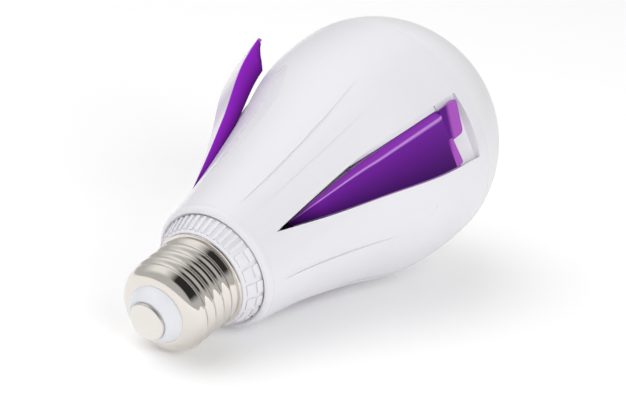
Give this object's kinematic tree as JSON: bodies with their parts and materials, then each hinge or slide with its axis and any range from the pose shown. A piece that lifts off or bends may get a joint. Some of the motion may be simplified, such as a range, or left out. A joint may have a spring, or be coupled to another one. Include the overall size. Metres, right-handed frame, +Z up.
{
  "type": "rechargeable led bulb",
  "caption": "Rechargeable lamp with a screw cap, a flared white housing with recessed pockets, swing-out purple wings and a frosted globe.",
  "frame": {"origin": "centre of the flat end face of the centre contact", "axes": "+Z up with the lamp lying at rest on its globe and its underside pocket; +X from the cap towards the globe along the floor; the lamp's own axis rises from +X towards +Z"},
  "size_m": [0.1421, 0.079, 0.0737],
  "materials": {
    "contact_metal": "satin",
    "cap_metal": "polished",
    "insulator": "glossy",
    "collar_plastic": "matte",
    "housing_plastic": "glossy",
    "globe_plastic": "frosted",
    "wing_plastic": "glossy",
    "pin_steel": "satin",
    "sink_metal": "satin",
    "board_white": "matte",
    "emitter_yellow": "matte",
    "cell_wrap": "glossy",
    "holder_plastic": "matte",
    "terminal_metal": "polished",
    "board_green": "matte",
    "transformer": "matte",
    "capacitor": "glossy",
    "inductor": "glossy",
    "lead": "matte"
  },
  "bodies": {
    "housing": {"centre_contact": "contact_metal", "screw_shell": "cap_metal", "contact_insulator": "insulator", "vent_collar": "collar_plastic", "body_housing": "housing_plastic", "globe_diffuser": "globe_plastic", "hinge_pin_right": "pin_steel", "hinge_pin_under": "pin_steel", "hinge_pin_left": "pin_steel", "heat_sink": "sink_metal", "led_board": "board_white", "led_emitters": "emitter_yellow", "board_screws": "pin_steel", "battery_cell": "cell_wrap", "battery_holder": "holder_plastic", "battery_terminals": "terminal_metal", "driver_board": "board_green", "driver_transformer": "transformer", "driver_capacitor": "capacitor", "driver_inductor": "inductor", "contact_lead": "lead"},
    "wing_right": {"wing_right": "wing_plastic"},
    "wing_under": {"wing_under": "wing_plastic"},
    "wing_left": {"wing_left": "wing_plastic"}
  },
  "joints": [
    {"name": "wing_right_hinge", "type": "hinge", "parent": "housing", "child": "wing_right", "pos_m": [0.0406, -0.01319, 0.0212], "axis": [0.2006, -0.5486, -0.8117], "range_deg": [0, 13]},
    {"name": "wing_under_hinge", "type": "hinge", "parent": "housing", "child": "wing_under", "pos_m": [0.04724, -0.00279, -0.00567], "axis": [0.0137, 0.9984, -0.0554], "range_deg": [0, 13]},
    {"name": "wing_left_hinge", "type": "hinge", "parent": "housing", "child": "wing_left", "pos_m": [0.04176, 0.01598, 0.0165], "axis": [-0.2143, -0.4498, 0.8671], "range_deg": [-9.3, 3.7]}
  ]
}
